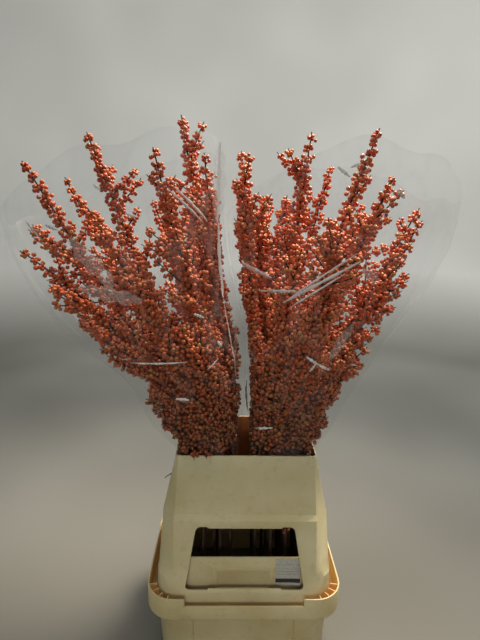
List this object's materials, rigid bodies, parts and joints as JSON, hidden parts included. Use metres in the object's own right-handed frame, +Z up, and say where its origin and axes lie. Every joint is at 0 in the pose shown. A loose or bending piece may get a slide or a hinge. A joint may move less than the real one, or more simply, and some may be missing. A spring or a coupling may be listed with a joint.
{
  "type": "winterberry branches in a flower bucket",
  "caption": "Film-sleeved bunches of orange winterberry branches standing in water in a cream flower bucket with a tapered collar.",
  "frame": {"origin": "middle of the bucket's flat base", "axes": "+Z up along the standing stems, +X along the bucket's long side to the viewer's right, -Y towards the front with the label"},
  "size_m": [0.7971, 0.4236, 1.076],
  "materials": {
    "bucket_plastic": "worn cream moulded polypropylene with an orange translucent brim edge",
    "collar_plastic": "satin cream moulded polypropylene with scuffs",
    "label_paper": "plain white paper label with grey bars",
    "water": "clear, slightly clouded water",
    "sleeve_film": "clear creased packing film",
    "berried_branch": "waxy orange-red berries on dark brown bark"
  },
  "bodies": {
    "root": {"bucket": "bucket_plastic", "collar": "collar_plastic", "label": "label_paper", "water": "water", "sleeve_left": "sleeve_film", "sleeve_right": "sleeve_film", "branch_left_01": "berried_branch", "branch_left_02": "berried_branch", "branch_left_03": "berried_branch", "branch_left_04": "berried_branch", "branch_left_05": "berried_branch", "branch_left_06": "berried_branch", "branch_left_07": "berried_branch", "branch_left_08": "berried_branch", "branch_left_09": "berried_branch", "branch_left_10": "berried_branch", "branch_left_11": "berried_branch", "branch_left_12": "berried_branch", "branch_left_13": "berried_branch", "branch_left_14": "berried_branch", "branch_left_15": "berried_branch", "branch_left_16": "berried_branch", "branch_left_17": "berried_branch", "branch_left_18": "berried_branch", "branch_right_01": "berried_branch", "branch_right_02": "berried_branch", "branch_right_03": "berried_branch", "branch_right_04": "berried_branch", "branch_right_05": "berried_branch", "branch_right_06": "berried_branch", "branch_right_07": "berried_branch", "branch_right_08": "berried_branch", "branch_right_09": "berried_branch", "branch_right_10": "berried_branch", "branch_right_11": "berried_branch", "branch_right_12": "berried_branch", "branch_right_13": "berried_branch", "branch_right_14": "berried_branch", "branch_right_15": "berried_branch", "branch_right_16": "berried_branch", "branch_right_17": "berried_branch", "branch_right_18": "berried_branch", "branch_right_19": "berried_branch"}
  },
  "joints": []
}
